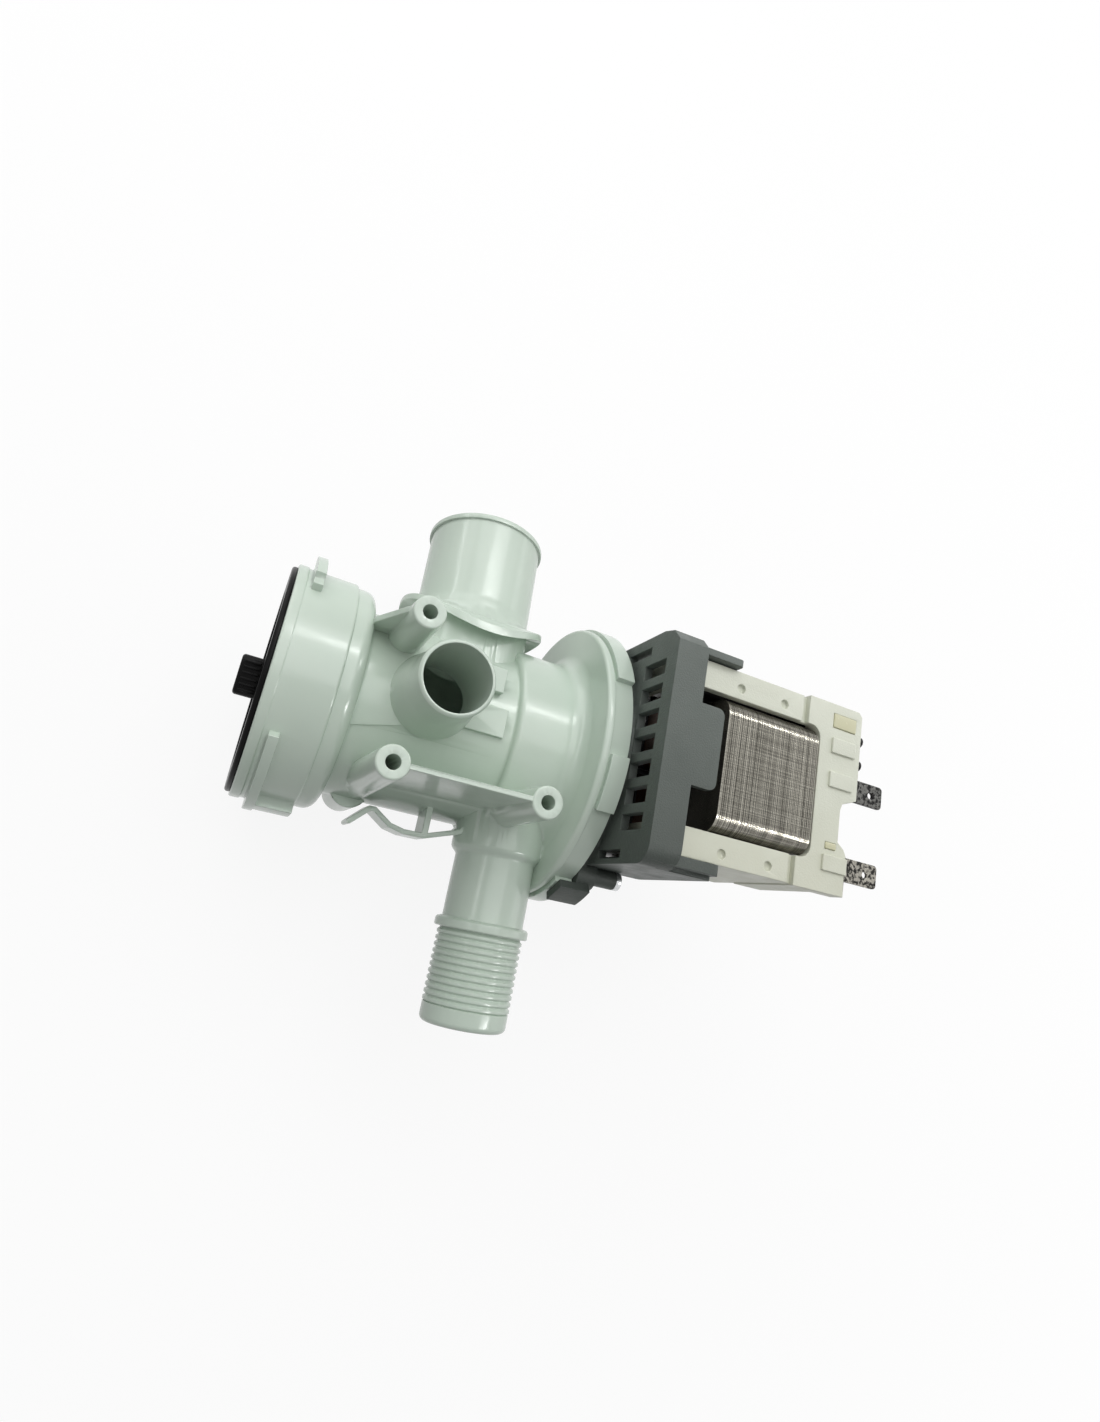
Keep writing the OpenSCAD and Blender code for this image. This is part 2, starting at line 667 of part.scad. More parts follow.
module volute_seal() color("#141414") {
    translate([(housing_x + housing_end) / 2, 0, 0]) rotate([0, 90, 0]) rotate_extrude()
        translate([pocket_r - seal_r - 0.05, 0]) circle(r = seal_r, $fn = 32);
}

// Outline of the bracket in [y, z], with chamfered upper and rounded lower corners
module bracket_outline(inset = 0) {
    y = bracket_y - inset;
    up = bracket_up - inset;
    top = bracket_top - inset;
    back = -bracket_back + inset;
    polygon(concat(
        [[up, back + 4], [up, top - 7.5], [up - 1, top - 3], [up - 4, top]],
        arc([-y + 5, top - 5], 5, 90, 180),
        [[-y, back + 4], [-y + 4, back], [up - 4, back]]
    ));
}

// Tongue over the steel stack, with the two arms beside the coil frame
module bracket_tongue() {
    edge = bracket_x + bracket_l;
    translate([0, 0, bracket_top - 2]) linear_extrude(2)
        round_box([edge - 4, 1.6 - tongue_w / 2], [edge + tongue_l, 1.6 + tongue_w / 2], 2);
    for (arm = [[-1, lower_arm_t], [1, upper_arm_t]])
        y_web(arm[0] * (frame_y + gap + arm[1] / 2), arm[1])
            round_box([edge - 4, bracket_top - 12], [edge + arm_reach, bracket_top - 1.6], 1.2);
    lower_wall_t = bracket_y - frame_y - gap;
    y_web(-bracket_y + lower_wall_t / 2, lower_wall_t)
        round_box([edge - 4, bracket_top - 38], [edge + arm_reach, bracket_top - 4.5], 1.2);
}

// Hooks of the bayonet round the volute's skirt
module bracket_hooks() {
    for (a = hook_angles) {
        x_sector(block_r + gap, block_r + gap + hook_t, a - hook_half, a + hook_half, hook_x, bracket_x + bracket_t);
        x_sector(flange_r - 4, block_r + gap + hook_t, a - hook_half, a + hook_half, skirt_end + 0.2, bracket_x + bracket_t);
    }
}

module motor_bracket() color("#6b7678") {
    plate_end = bracket_x + bracket_t;
    difference() {
        union() {
            x_plate(bracket_x, bracket_l) bracket_outline();
            x_cyl(skirt_end + 0.4, bracket_x + 0.5, flange_r - 2.4);
            bracket_hooks();
            translate([skirt_end + 0.1, screw_at.x, screw_at.y]) rotate([0, 90, 0]) cylinder(h = plate_end - skirt_end + 1.5, r = 4);
            translate([bracket_x, screw_at.x, screw_at.y]) rotate([0, 90, 0]) cylinder(h = screw_end - bracket_x, r = 2.4);
            bracket_tongue();
        }
        x_plate(plate_end, bracket_l) bracket_outline(bracket_t);
        x_cyl(skirt_end - cut, plate_end + cut, can_r + gap);
        for (i = [-3:3])
            x_plate(bracket_x - cut, bracket_t + 2 * cut)
                translate([0.55 + i * vent_pitch - vent_w / 2, vent_top - vent_l]) square([vent_w, vent_l]);
        for (y = [bracket_up - 5.1, -bracket_y + 1.4])
            x_plate(bracket_x - cut, bracket_t + 2 * cut) translate([y, vent_top - 19]) square([2.1, 11]);
        translate([skirt_end - cut, screw_at.x, screw_at.y]) rotate([0, 90, 0]) cylinder(h = 2 * bracket_l, r = screw_r + screw_gap);
    }
}

module locking_screw() color("#c6c8ca") {
    translate([pocket_x + 0.4, screw_at.x, screw_at.y]) rotate([0, 90, 0]) {
        cylinder(h = screw_end - pocket_x - 0.3, r = screw_r);
        translate([0, 0, screw_end - pocket_x - 0.4]) difference() {
            cylinder(h = 1.6, r = 2.4);
            translate([-0.35, -1.6, 0.8]) cube([0.7, 3.2, 2]);
            translate([-1.6, -0.35, 0.8]) cube([3.2, 0.7, 2]);
        }
    }
}

// Steel core: a yoke and two legs round the rotor can
module core_stack() color("#9c968f") {
    difference() {
        x_plate(stack_x, stack_l) {
            translate([-core_y, leg_end]) square([2 * core_y, core_top - core_corner - leg_end]);
            round_box([-core_y, leg_end], [core_y, core_top], core_corner);
        }
        x_plate(stack_x - cut, stack_l + 2 * cut)
            translate([-leg_gap, leg_end - cut]) square([2 * leg_gap, core_top - yoke_h - leg_end + cut]);
        x_cyl(stack_x - cut, stack_end + cut, can_r + gap);
    }
}

// Bobbin round one leg of the core, with its two flanges
module bobbin(s) {
    y1 = leg_gap - core_gap - bobbin_wall;
    y2 = core_y + core_gap + bobbin_wall;
    x1 = stack_x - core_gap - bobbin_wall;
    x2 = stack_end + core_gap + bobbin_wall;
    flange_out = winding_t + 0.2;
    mirror([0, s < 0 ? 1 : 0, 0]) difference() {
        union() {
            translate([x1, y1, bobbin_z]) cube([x2 - x1, y2 - y1, bobbin_l]);
            for (z = [bobbin_z, bobbin_z + bobbin_l - 1.2])
                translate([x1 - flange_out, y1 - flange_out, z]) cube([x2 - x1 + 2 * flange_out, y2 - y1 + 2 * flange_out, 1.2]);
        }
        translate([stack_x - core_gap, leg_gap - core_gap, bobbin_z - cut])
            cube([stack_l + 2 * core_gap, core_y - leg_gap + 2 * core_gap, bobbin_l + 2 * cut]);
    }
}

// Copper wound round one bobbin, as one closed ring
module winding(s) {
    y1 = leg_gap - core_gap - bobbin_wall;
    y2 = core_y + core_gap + bobbin_wall;
    x1 = stack_x - core_gap - bobbin_wall;
    x2 = stack_end + core_gap + bobbin_wall;
    mirror([0, s < 0 ? 1 : 0, 0]) translate([0, 0, bobbin_z + 1.2]) linear_extrude(bobbin_l - 2.4) difference() {
        round_box([x1 - winding_t, y1 - winding_t], [x2 + winding_t, y2 + winding_t], 2.4);
        translate([x1, y1]) square([x2 - x1, y2 - y1]);
    }
}

module upper_bobbin() color("#e6e2cf") bobbin(1);

module lower_bobbin() color("#e6e2cf") bobbin(-1);

module upper_winding() color("#b5673a") winding(1);

module lower_winding() color("#b5673a") winding(-1);

// Outline of the terminal block in [x, y], with its stepped right edge
module block_outline() {
    e = block_end;
    y = block_notch_y;
    low = -frame_y - block_rim / 2;
    high = frame_y + block_rim;
    polygon([[block_x, low], [e - block_step[0], low], [e - block_step[0], y[0]], [e - block_step[1], y[1]],
        [e - block_notch, y[2]], [e - block_notch, y[3]], [e - block_step[2], y[4]], [e, y[5]],
        [e, high - 2 * block_rim], [e - 2 * block_rim, high], [block_x, high]]);
}

module coil_frame() color("#e9e8dc") {
    inner_y = frame_y - frame_wall;
    difference() {
        union() {
            translate([frame_x, -frame_y, frame_back]) cube([block_x - frame_x + 1, 2 * frame_y, frame_top - frame_back]);
            translate([0, 0, block_face - block_t]) linear_extrude(block_t) block_outline();
            translate([block_x, -frame_y - block_rim / 2, block_back])
                cube([block_foot, 2 * frame_y + 1.5 * block_rim, block_face - block_back - 1]);
            translate([block_x, block_notch_y[2] - block_rim, block_back])
                cube([block_l - block_notch, frame_y - block_notch_y[2] + 2 * block_rim, block_face - block_back - 1]);
            for (y = [plug_y[1], plug_y[2], plug_y[3]])
                translate([block_end - rib_from_end, y - 2.1, block_face - 0.5]) cube([8, 4.2, 1.2]);
        }
        translate([frame_x + 2, -inner_y, frame_back - cut])
            cube([stack_end + winding_t + 3 - frame_x - 2, 2 * inner_y, frame_top - face_t - frame_back + cut]);
        translate([frame_x - cut, 0, 0]) translate([0, -window_y, frame_top - face_t - cut])
            linear_extrude(face_t + 3) translate([-window_round, 0])
                round_box([0, 0], [window_end - frame_x + cut + window_round, 2 * window_y], window_round);
        translate([frame_x - cut, -window_y, frame_back + 8]) cube([3, 2 * window_y, 40]);
        translate([block_x - 1.7, -frame_y - 1, frame_top - 1.2]) cube([1.7, 2 * frame_y + 2, 5]);
        for (x = [110, 124.1], y = [-22.1, 20.5]) translate([x, y, frame_top - 1]) cylinder(h = 2, r = 1.2);
        for (y = tab_y)
            translate([block_end - tab_root - 0.2, y - tab_w / 2 - fit_gap, tab_z - tab_t / 2 - fit_gap])
                cube([tab_root + 4, tab_w + 2 * fit_gap, tab_t + 2 * fit_gap]);
        for (y = pin_y)
            translate([block_end - pin_root - 0.2, y, tab_z]) rotate([0, 90, 0]) cylinder(h = pin_root + 2, r = pin_r + fit_gap);
        for (i = [0, 1]) translate([resin_x[i], resin_y[i], block_face - resin_deep]) cube([resin_l[i], resin_w[i], 2]);
    }
}

module sealing_resin() color("#dfe0a8") {
    for (i = [0, 1]) translate([resin_x[i] + fit_gap, resin_y[i] + fit_gap, block_face - resin_deep])
        cube([resin_l[i] - 2 * fit_gap, resin_w[i] - 2 * fit_gap, resin_deep + 0.3]);
}

// Spade terminal with its round-cornered blade and its hole
module terminal(y) {
    translate([0, y, tab_z - tab_t / 2]) difference() {
        linear_extrude(tab_t) round_box([block_end - tab_root, -tab_w / 2], [block_end + tab_out, tab_w / 2], 1.1);
        translate([block_end + tab_out - 4.2, 0, -1]) cylinder(h = 3, r = 0.85);
    }
}

module upper_terminal() color("#b9bbb9") terminal(tab_y[0]);

module lower_terminal() color("#b9bbb9") terminal(tab_y[1]);

module protector_pins() color("#4c4b48") {
    for (y = pin_y) translate([block_end - pin_root, y, tab_z]) rotate([0, 90, 0]) cylinder(h = pin_root + pin_out, r = pin_r);
}

pump_body();
filter_cap();
cap_seal();
filter_basket();
impeller();
shock_damper();
drive_dog();
rotor_shaft();
rotor_hub();
rotor_magnet();
front_thrust_washer();
rear_thrust_washer();
front_bearing();
rear_bearing();
bearing_plate();
rear_bearing_cup();
rotor_housing();
volute_seal();
motor_bracket();
locking_screw();
core_stack();
coil_frame();
upper_bobbin();
lower_bobbin();
upper_winding();
lower_winding();
upper_terminal();
lower_terminal();
protector_pins();
sealing_resin();
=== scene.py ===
# %% [markdown]
# A drain pump from a washing machine, dressed for a studio picture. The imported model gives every
# rigid solid in its true place. This script adds what an eye would miss on them: soft edges on the
# mouldings, single steel sheets in the motor's core, and a finish for each material.

# %% Load the frame
import math
import random

import bmesh
import bpy
from mathutils import Matrix, Vector


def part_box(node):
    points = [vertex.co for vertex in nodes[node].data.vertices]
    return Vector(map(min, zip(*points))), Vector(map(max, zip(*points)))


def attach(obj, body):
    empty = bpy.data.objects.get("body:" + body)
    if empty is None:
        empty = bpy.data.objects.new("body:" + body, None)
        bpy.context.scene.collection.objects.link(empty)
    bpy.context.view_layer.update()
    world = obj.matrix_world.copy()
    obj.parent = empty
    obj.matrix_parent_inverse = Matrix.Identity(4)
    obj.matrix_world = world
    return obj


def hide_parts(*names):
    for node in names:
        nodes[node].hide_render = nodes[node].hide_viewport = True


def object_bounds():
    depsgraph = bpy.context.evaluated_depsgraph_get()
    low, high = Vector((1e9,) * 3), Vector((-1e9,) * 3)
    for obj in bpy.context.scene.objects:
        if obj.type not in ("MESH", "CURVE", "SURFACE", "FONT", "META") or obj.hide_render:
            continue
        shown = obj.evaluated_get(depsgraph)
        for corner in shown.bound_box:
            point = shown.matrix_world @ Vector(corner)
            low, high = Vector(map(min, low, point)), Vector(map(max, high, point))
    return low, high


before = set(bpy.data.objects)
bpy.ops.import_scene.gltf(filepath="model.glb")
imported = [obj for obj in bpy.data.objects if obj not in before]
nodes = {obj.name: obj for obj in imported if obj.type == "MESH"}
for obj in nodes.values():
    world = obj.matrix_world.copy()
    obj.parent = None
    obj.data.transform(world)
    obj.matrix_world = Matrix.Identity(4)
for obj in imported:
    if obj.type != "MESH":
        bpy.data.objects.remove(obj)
cad_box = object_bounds()
MM = 0.001

# %% [markdown]
# The camera was solved from the photograph: a wide lens, held close above the pump, which is why
# the filter collar looks larger than the motor. Its place is in the pump's own frame, and its axes
# are the three columns of a matrix, so nothing has to be aimed.

# %% Camera
LENS_MM = 19.687
SENSOR_MM = 36
NEAREST_SEEN = 10 * MM

eye = Vector((-3.40, -48.62, 204.04)) * MM
look = Matrix(((0.892, -0.27705, -0.35719), (0.183, 0.94385, -0.27507), (0.41334, 0.18, 0.89261)))
camera_data = bpy.data.cameras.new("camera")
camera_data.sensor_width = SENSOR_MM
camera_data.lens = LENS_MM
camera_data.clip_start = NEAREST_SEEN
camera = bpy.data.objects.new("camera", camera_data)
camera.matrix_world = Matrix.Translation(eye) @ look.to_4x4()
bpy.context.collection.objects.link(camera)
bpy.context.scene.camera = camera
bpy.context.scene.view_settings.view_transform = "Standard"
print("camera at", [round(v, 4) for v in eye])

# %% [markdown]
# Shader graphs are easier to read as sums and products than as boxes and wires. A Wire holds one
# socket, and adding to it, subtracting from it or multiplying it adds the Math node that does so.
# Every other node comes from Finish.node. All textures run on the object's own coordinates, in
# metres, so a noise of scale 100 has patches of about a centimetre.

# %% Shader maths
class Wire:
    """One output socket in a finish, with plus, minus and times."""

    def __init__(self, finish, socket):
        self.finish = finish
        self.socket = socket

    def maths(self, operation, first, second):
        return self.finish.node("ShaderNodeMath", {"operation": operation}, {0: first, 1: second})

    def __add__(self, other):
        return self.maths("ADD", self, other)

    def __sub__(self, other):
        return self.maths("SUBTRACT", self, other)

    def __mul__(self, other):
        return self.maths("MULTIPLY", self, other)


class Finish:
    """A material with a Principled shader, and its graph on Object coordinates."""

    def __init__(self, name, roughness=0.5, metallic=0.0, coat=0.0, specular=0.5):
        self.material = bpy.data.materials.new(name)
        self.material.use_nodes = True
        self.tree = self.material.node_tree
        self.shader = self.tree.nodes["Principled BSDF"]
        self.shader.inputs["Metallic"].default_value = metallic
        self.shader.inputs["Roughness"].default_value = roughness
        self.shader.inputs["Coat Weight"].default_value = coat
        self.shader.inputs["Specular IOR Level"].default_value = specular
        self.place = self.node("ShaderNodeTexCoord", out="Object")

    def node(self, kind, settings=None, sockets=None, out=0):
        """Add a node, set it up, feed its sockets with wires or numbers, and give one output."""
        made = self.tree.nodes.new(kind)
        for key, value in (settings or {}).items():
            setattr(made, key, value)
        for key, value in (sockets or {}).items():
            if isinstance(value, Wire):
                self.tree.links.new(value.socket, made.inputs[key])
            else:
                made.inputs[key].default_value = value
        return Wire(self, made.outputs[out])

    def noise(self, scale, detail=3.0, stretch=(1, 1, 1), roughness=0.5):
        """Noise in the object's own place. An axis stretched by less than 1 gives long marks."""
        place = self.place
        if stretch != (1, 1, 1):
            place = self.node("ShaderNodeMapping", None, {"Vector": self.place, "Scale": stretch})
        inputs = {"Vector": place, "Scale": scale, "Detail": detail, "Roughness": roughness}
        return self.node("ShaderNodeTexNoise", None, inputs)

    def blend(self, mask, low, high):
        """Colour that goes from low to high with the mask."""
        inputs = {"Factor": mask, 6: colour_of(low), 7: colour_of(high)}
        return self.node("ShaderNodeMix", {"data_type": "RGBA"}, inputs, out=2)

    def spread(self, mask, low, high):
        """Number that goes from low to high as the mask goes from 0.3 to 0.7."""
        settings = {"clamp": True}
        inputs = {"Value": mask, "From Min": 0.3, "From Max": 0.7, "To Min": low, "To Max": high}
        return self.node("ShaderNodeMapRange", settings, inputs)

    def feed(self, **sockets):
        """Join wires to the shader, such as Base_Color=wire."""
        for key, wire in sockets.items():
            self.tree.links.new(wire.socket, self.shader.inputs[key.replace("_", " ")])

    def bump(self, height, distance):
        """Relief from a height wire, where 1 stands distance metres above 0."""
        inputs = {"Height": height, "Distance": distance, "Strength": 1.0}
        self.feed(Normal=self.node("ShaderNodeBump", None, inputs))


def colour_of(value):
    """A colour may be three numbers or a wire."""
    return value if isinstance(value, Wire) else (*value, 1)


print("shader maths ready")

# %% [markdown]
# The pump's body is polypropylene in a pale grey green. Real moulded parts aren't one flat colour:
# the tone drifts a little over centimetres, the gloss changes where hands have been, and the
# surface has a faint orange-peel and, where the mould was etched, a fine grain. Four noises of
# different sizes give that. The grey bracket also has painted shade, darker towards the outlet side.

# %% Plastic finishes
CLOUD_SCALE = 45.0
PATCH_SCALE = 160.0
PEEL_SCALE = 420.0
GRAIN_SCALE = 2500.0
PEEL_SHARE = 0.35
MOULDED_RELIEF = 0.06 * MM


def moulded(name, colour, shade, roughness, grain=0.0, specular=0.5):
    """Moulded plastic: colour drifting to shade, gloss that varies, and a fine surface grain."""
    finish = Finish(name, roughness=roughness, specular=specular)
    cloud = finish.noise(CLOUD_SCALE, detail=4.0)
    patch = finish.noise(PATCH_SCALE, detail=3.0)
    base = finish.blend(finish.spread(cloud, 0.0, 1.0), colour, shade)
    finish.feed(Base_Color=base, Roughness=finish.spread(patch, roughness * 0.85, roughness * 1.2))
    peel = finish.noise(PEEL_SCALE, detail=1.0)
    fine = finish.noise(GRAIN_SCALE, detail=2.0)
    finish.bump(peel * PEEL_SHARE + fine * grain, MOULDED_RELIEF)
    return finish.material


body_plastic = moulded("body_plastic", (0.568, 0.654, 0.57), (0.525, 0.618, 0.535), 0.2)
cap_plastic = moulded("cap_plastic", (0.003, 0.003, 0.003), (0.005, 0.005, 0.005), 0.3, specular=0.08)
housing_plastic = moulded("housing_plastic", (0.07, 0.085, 0.085), (0.055, 0.07, 0.07), 0.45, 1.0,
                          specular=0.25)
hub_plastic = moulded("hub_plastic", (0.016, 0.019, 0.02), (0.024, 0.027, 0.028), 0.5, 1.0,
                      specular=0.25)
# The basket is a pale green a little lighter than the body: painted light, so the shaded inside of
# the side bore reads brighter.
basket_plastic = moulded("basket_plastic", (0.62, 0.70, 0.64), (0.56, 0.64, 0.58), 0.4, 0.6)
impeller_plastic = moulded("impeller_plastic", (0.62, 0.63, 0.58), (0.55, 0.56, 0.5), 0.42, 0.6)
washer_plastic = moulded("washer_plastic", (0.68, 0.66, 0.6), (0.6, 0.58, 0.52), 0.35)
bobbin_plastic = moulded("bobbin_plastic", (0.035, 0.036, 0.035), (0.02, 0.021, 0.02), 0.5, 1.0,
                         specular=0.25)
dog_plastic = moulded("dog_plastic", (0.02, 0.021, 0.021), (0.03, 0.031, 0.031), 0.5, 0.8)
seal_rubber = moulded("seal_rubber", (0.012, 0.012, 0.012), (0.02, 0.02, 0.02), 0.6, 1.2)
damper_rubber = moulded("damper_rubber", (0.015, 0.015, 0.015), (0.024, 0.024, 0.024), 0.65, 1.2)

# Where the bracket's painted shade begins and ends along Y, and how dark it gets.
PAINTED_SHADE_FROM = 12 * MM
PAINTED_SHADE_TO = -34 * MM
PAINTED_SHADE_SHARE = 0.6


def bracket_grey():
    """Grey plastic of the bracket, with painted shade that darkens it towards the outlet side."""
    finish = Finish("bracket_plastic", roughness=0.45, specular=0.25)
    across = finish.node("ShaderNodeSeparateXYZ", None, {"Vector": finish.place}, out=1)
    reach = {"Value": across, "From Min": PAINTED_SHADE_FROM, "From Max": PAINTED_SHADE_TO}
    painted_shade = finish.node("ShaderNodeMapRange", None, reach)
    cloud = finish.noise(CLOUD_SCALE, detail=4.0)
    clean = finish.blend(finish.spread(cloud, 0.0, 1.0), (0.118, 0.137, 0.123), (0.09, 0.106, 0.095))
    # Painted shade: the colour darkens towards the outlet side, where less light falls on the
    # bracket.
    finish.feed(Base_Color=finish.blend(painted_shade * PAINTED_SHADE_SHARE, clean, (0.025, 0.031, 0.026)))
    finish.feed(Roughness=finish.spread(finish.noise(PATCH_SCALE), 0.38, 0.54))
    peel = finish.noise(PEEL_SCALE, detail=1.0)
    fine = finish.noise(GRAIN_SCALE, detail=2.0)
    finish.bump(peel * PEEL_SHARE + fine * 1.6, MOULDED_RELIEF)
    return finish.material


bracket_plastic = bracket_grey()
print("plastics:", len(bpy.data.materials))

# %% [markdown]
# The motor's metals are bare. The spade tabs are tinned brass with a dark skin and bright specks,
# so their noise is made harder before it mixes the two colours. Copper is lacquered, so it keeps a
# coat over a warm metal. The core's steel needs two noises: one is long and thin along the pump,
# for the marks of grinding, and the other changes only along the pump, so that each sheet has a
# tone of its own.

# %% Metal finishes
METAL_RELIEF = 0.03 * MM
WIRE_RELIEF = 0.1 * MM
SPECKS = 5.0


def metal(name, colour, dark, roughness, scale, stretch=(1, 1, 1), metallic=0.9, harder=1.0):
    """Metal whose colour and gloss follow one noise, stretched where it was rolled or drawn."""
    finish = Finish(name, roughness=roughness, metallic=metallic)
    marks = finish.noise(scale, detail=5.0, stretch=stretch, roughness=0.65)
    if harder != 1.0:
        marks = (marks - 0.5) * harder + 0.5
    mask = finish.spread(marks, 0.0, 1.0)
    finish.feed(Base_Color=finish.blend(mask, dark, colour))
    finish.feed(Roughness=finish.spread(marks, roughness * 1.3, roughness * 0.8))
    finish.bump(marks, METAL_RELIEF)
    return finish.material


shaft_steel = metal("shaft_steel", (0.62, 0.63, 0.64), (0.45, 0.46, 0.47), 0.25, 900.0, (0.1, 1, 1))
screw_steel = metal("screw_steel", (0.75, 0.76, 0.77), (0.5, 0.51, 0.52), 0.2, 900.0)
dull_terminal = metal("dull_terminal", (0.075, 0.075, 0.07), (0.003, 0.003, 0.003), 0.42, 1100.0,
                      harder=SPECKS)
bright_terminal = metal("bright_terminal", (0.2, 0.19, 0.165), (0.006, 0.006, 0.005), 0.42, 1100.0,
                        harder=SPECKS)
pin_metal = metal("pin_metal", (0.02, 0.02, 0.019), (0.006, 0.006, 0.006), 0.5, 1500.0,
                  metallic=0.95)
magnet_ferrite = metal("magnet_ferrite", (0.06, 0.06, 0.063), (0.03, 0.03, 0.032), 0.6, 1200.0,
                       metallic=0.3)
graphite = metal("bearing_graphite", (0.03, 0.03, 0.032), (0.015, 0.015, 0.016), 0.55, 1500.0,
                 metallic=0.3)


def sheet_steel():
    """Steel of the core: half grinding marks along the pump, half a tone for each sheet."""
    finish = Finish("core_steel", roughness=0.2, metallic=0.85)
    marks = finish.noise(300.0, detail=5.0, stretch=(0.12, 12.0, 12.0), roughness=0.7)
    tone = finish.noise(300.0, detail=2.0, stretch=(12.0, 0.05, 0.05), roughness=0.9)
    mask = finish.spread(marks * 0.5 + tone * 0.5, -0.5, 1.5)
    finish.feed(Base_Color=finish.blend(mask, (0.075, 0.07, 0.057), (0.38, 0.365, 0.315)))
    finish.feed(Roughness=finish.spread(marks, 0.26, 0.16))
    finish.bump(marks, METAL_RELIEF)
    return finish.material


def lacquered_wire():
    """Copper wire in even turns: the turns are a wave along Z, seen as ridges in the coil."""
    finish = Finish("winding_copper", roughness=0.35, metallic=0.9, coat=0.4)
    settings = {"wave_type": "BANDS", "bands_direction": "Z"}
    inputs = {"Vector": finish.place, "Scale": 900.0, "Distortion": 0.4}
    turns = finish.node("ShaderNodeTexWave", settings, inputs)
    finish.feed(Base_Color=finish.blend(turns, (0.06, 0.025, 0.012), (0.20, 0.08, 0.04)))
    finish.bump(turns, WIRE_RELIEF)
    return finish.material


core_steel = sheet_steel()
winding_copper = lacquered_wire()
print("metals ready")

# %% [markdown]
# The coil frame is cream, glass-filled plastic. In use it yellows towards the outlet side, so a slow
# mask from the object's own Y, which points away from the outlet, tints that edge. The resin is
# plain moulded plastic with more gloss and more yellow.

# %% Coil frame finish
YELLOW_FROM = 0.0
YELLOW_TO = -26 * MM
FRAME_RELIEF = 0.05 * MM


def cream_frame():
    """Cream plastic that yellows towards the outlet side."""
    finish = Finish("frame_plastic", roughness=0.4)
    across = finish.node("ShaderNodeSeparateXYZ", None, {"Vector": finish.place}, out=1)
    reach = {"Value": across, "From Min": YELLOW_FROM, "From Max": YELLOW_TO}
    age = finish.node("ShaderNodeMapRange", None, reach)
    cloud = finish.noise(60.0, detail=4.0)
    fine = finish.noise(2200.0, detail=2.0)
    clean = finish.blend(finish.spread(cloud, 0.0, 1.0), (0.63, 0.65, 0.55), (0.59, 0.61, 0.51))
    aged = finish.blend(age * finish.spread(cloud, 0.35, 0.8), clean, (0.57, 0.57, 0.45))
    finish.feed(Base_Color=aged, Roughness=finish.spread(finish.noise(200.0), 0.34, 0.5))
    finish.bump(fine, FRAME_RELIEF)
    return finish.material


frame_plastic = cream_frame()
resin = moulded("resin", (0.62, 0.61, 0.42), (0.56, 0.55, 0.36), 0.25)
print("frame finish ready")

# %% [markdown]
# The CAD nodes are loose triangles. A twin is a copy whose doubles are merged and whose slivers
# are gone, so that its sharp edges can be found by their angle and bevelled. Moulded edges that
# stand out are never quite sharp, and a narrow bevel catches the light as they do. Inner corners
# stay crisp, which draws the fine dark line where a spigot meets the chamber. Weighted normals keep
# the flat faces flat right up to their bevels.

# %% Twins and rounded edges
SAME_PLACE = 0.002 * MM
SLIVER = 0.02 * MM
SHARP_FROM = math.radians(35)
CREASE_FROM = math.radians(32)


def twin(node):
    """Merged bmesh copy of a CAD node."""
    bm = bmesh.new()
    bm.from_mesh(nodes[node].data)
    bmesh.ops.remove_doubles(bm, verts=bm.verts, dist=SAME_PLACE)
    bmesh.ops.dissolve_degenerate(bm, edges=bm.edges, dist=SLIVER)
    return bm


def round_edges(bm, width, chosen=None, segments=2):
    """Bevel the sharp edges that stand out and that chosen accepts, and leave the inner corners."""
    closed = [e for e in bm.edges if len(e.link_faces) == 2]
    sharp = [e for e in closed if e.is_convex and e.calc_face_angle(0) > SHARP_FROM]
    sharp = [e for e in sharp if chosen is None or chosen(e.verts[0].co)]
    bmesh.ops.bevel(bm, geom=sharp, offset=width, offset_type="OFFSET", segments=segments,
                    profile=0.5, affect="EDGES", clamp_overlap=False, material=-1)
    return len(sharp)


def piece(bm, name, material, body, stands_for=()):
    """Turn a bmesh into a finished piece that rides on a body."""
    mesh = bpy.data.meshes.new(name)
    bm.to_mesh(mesh)
    bm.free()
    mesh.materials.append(material)
    mesh.shade_smooth()
    mesh.set_sharp_from_angle(angle=CREASE_FROM)
    made = bpy.data.objects.new(name, mesh)
    bpy.context.collection.objects.link(made)
    even = made.modifiers.new("even", "WEIGHTED_NORMAL")
    even.keep_sharp = True
    if stands_for:
        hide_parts(*stands_for)
    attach(made, body)
    print(name, len(mesh.polygons), "faces")


# %% [markdown]
# The pale body, the black cap, the dark bracket, the cream coil frame and the rotor housing are
# twins of their solids with their outer edges rounded by a few tenths of a millimetre, each by what
# its mould would have. The body's hose ribs are narrow and get less, and the cap's grip is rounder,
# for the fingers. The metal tabs have a finer edge, as stamped parts do.

# %% Rounded twins
HOSE_RIBS_FROM = -49.5 * MM
RIB_EDGE = 0.07 * MM
GRIP_EDGE = 0.7 * MM
TAB_EDGE = 0.12 * MM
BRACKET_EDGE = 0.17 * MM
COMMON_EDGE = 0.2 * MM
FRAME_EDGE = 0.25 * MM
SOFT_EDGE = 0.3 * MM


def rounded_twin(node, name, material, width):
    """Twin of a node that is fixed to the pump."""
    bm = twin(node)
    print(node, "edges rounded:", round_edges(bm, width))
    piece(bm, name, material, "pump", [node])


moulding = twin("pump_body")
on_ribs = round_edges(moulding, RIB_EDGE, lambda place: place.y < HOSE_RIBS_FROM)
elsewhere = round_edges(moulding, COMMON_EDGE, lambda place: place.y >= HOSE_RIBS_FROM)
print("pump_body edges rounded:", on_ribs, "on the ribs,", elsewhere, "elsewhere")
piece(moulding, "body_moulding", body_plastic, "pump", ["pump_body"])

